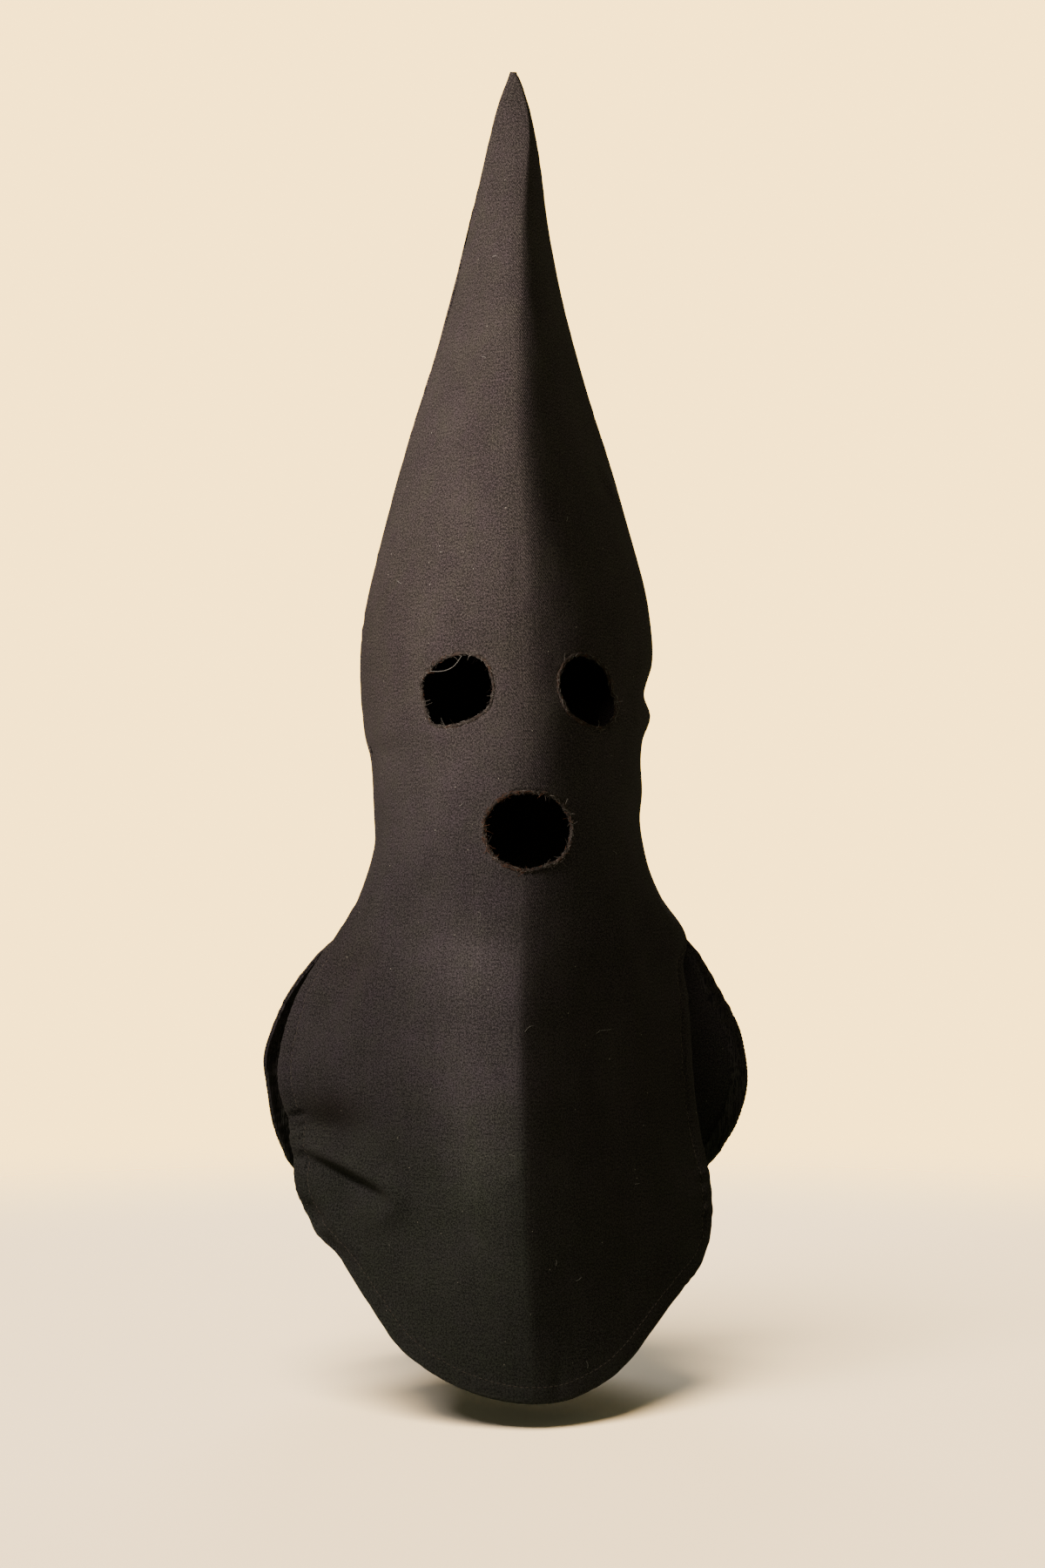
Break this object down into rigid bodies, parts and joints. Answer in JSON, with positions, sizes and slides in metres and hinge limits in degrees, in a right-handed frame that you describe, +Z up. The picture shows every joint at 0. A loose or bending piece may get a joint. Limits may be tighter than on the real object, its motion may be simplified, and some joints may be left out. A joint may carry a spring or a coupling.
{
  "type": "capirote hood",
  "caption": "Soft pointed hood of black cotton with two eye holes, a mouth hole and rounded front and back bibs, in its worn form.",
  "frame": {"origin": "seat of the crown inside the hood, where the top of the head bears, midway between the side seams", "axes": "+Z up along the cone; the face with its holes looks along -Y; +X is to the viewer's right"},
  "size_m": [0.2727, 0.2261, 0.7171],
  "materials": {
    "panel_cotton": "matte",
    "hem_cotton": "matte",
    "frayed_cotton": "matte"
  },
  "bodies": {
    "root": {"front_panel": "panel_cotton", "back_panel": "panel_cotton", "front_hem": "hem_cotton", "back_hem": "hem_cotton", "left_eye_rim": "frayed_cotton", "right_eye_rim": "frayed_cotton", "mouth_rim": "frayed_cotton"}
  },
  "joints": []
}
